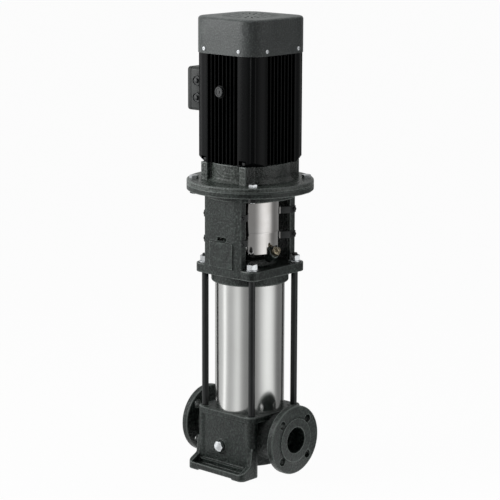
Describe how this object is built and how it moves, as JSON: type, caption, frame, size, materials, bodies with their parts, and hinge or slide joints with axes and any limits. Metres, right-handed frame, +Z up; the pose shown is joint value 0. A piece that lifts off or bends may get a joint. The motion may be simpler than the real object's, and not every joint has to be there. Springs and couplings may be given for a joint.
{
  "type": "vertical multistage pump",
  "caption": "Vertical multistage in-line centrifugal pump with flanged ports, steel pressure sleeve, coupling stool and finned flange-mounted electric motor.",
  "frame": {"origin": "centre of the foundation bolt pattern, on the floor under the shaft", "axes": "+Z up along the shaft, +X from the suction flange to the discharge flange, -Y towards the drain plug"},
  "size_m": [0.3005, 0.3, 1.083],
  "materials": {
    "cast_iron_coated": "dark grey coated casting",
    "stainless_satin": "satin, brushed round the axis",
    "stainless_polished": "polished sheet",
    "zinc_plated": "zinc plated",
    "blackened_steel": "dark satin",
    "motor_black": "black satin paint on die-cast fins",
    "motor_grey": "dark grey satin paint",
    "cover_grey": "dark grey powder coat",
    "box_grey": "dark grey satin paint on die-cast alloy",
    "black_plastic": "moulded",
    "brass": "bare",
    "rubber": "black seal rubber",
    "seal_ceramic": "lapped",
    "dark_steel": "oiled, machined",
    "bearing_steel": "ground",
    "electrical_steel": "laminated",
    "winding_copper": "varnished copper wire"
  },
  "bodies": {
    "pump": {"bearing_balls": "bearing_steel", "cover_screws": "zinc_plated", "discharge_cover": "stainless_satin", "drain_plug": "zinc_plated", "drain_washer": "rubber", "drive_bearing_outer": "bearing_steel", "end_shield": "motor_grey", "entry_plugs": "black_plastic", "fan_bearing_outer": "bearing_steel", "fan_cover": "cover_grey", "flange_bolts": "zinc_plated", "flange_nuts": "zinc_plated", "frame_plug": "black_plastic", "guard_discharge_side": "stainless_polished", "guard_screws": "zinc_plated", "guard_suction_side": "stainless_polished", "inlet_chamber": "stainless_satin", "lid_gasket": "rubber", "lid_screws": "zinc_plated", "motor_bracket": "motor_grey", "motor_housing": "motor_black", "motor_stool": "cast_iron_coated", "neck_rings": "seal_ceramic", "outer_sleeve": "stainless_satin", "pump_base": "cast_iron_coated", "seal_cover": "dark_steel", "seal_screws": "zinc_plated", "seal_seat": "seal_ceramic", "sleeve_o_rings": "rubber", "stack_straps": "stainless_satin", "stage_bushes": "seal_ceramic", "stage_chambers": "stainless_satin", "stator_core": "electrical_steel", "stator_windings": "winding_copper", "stay_bolts": "blackened_steel", "stay_nuts": "zinc_plated", "stay_washers": "zinc_plated", "terminal_board": "black_plastic", "terminal_box": "box_grey", "terminal_lid": "box_grey", "terminal_studs": "brass", "tie_bolts": "zinc_plated", "vent_plug": "brass"},
    "rotor": {"impellers": "stainless_satin", "shaft_spacers": "stainless_satin", "shaft_nut": "stainless_satin", "pump_shaft": "stainless_satin", "seal_ring": "seal_ceramic", "seal_driver": "stainless_satin", "coupling_half_front": "dark_steel", "coupling_half_rear": "dark_steel", "coupling_screws": "zinc_plated", "coupling_pin": "dark_steel", "rotor_core": "electrical_steel", "drive_bearing_inner": "bearing_steel", "fan_bearing_inner": "bearing_steel", "motor_shaft": "dark_steel", "motor_fan": "black_plastic", "fan_clip": "dark_steel"},
    "vent_spindle": {"vent_spindle": "brass"}
  },
  "joints": [
    {"name": "rotor_spin", "type": "hinge", "parent": "pump", "child": "rotor", "pos_m": [0, 0, 0.6], "axis": [0, 0, 1], "continuous": true},
    {"name": "vent_turn", "type": "hinge", "parent": "pump", "child": "vent_spindle", "pos_m": [0.0739, 0.00387, 0.533], "axis": [0.8469, 0.0444, 0.5299], "range_deg": [0, 360]}
  ]
}
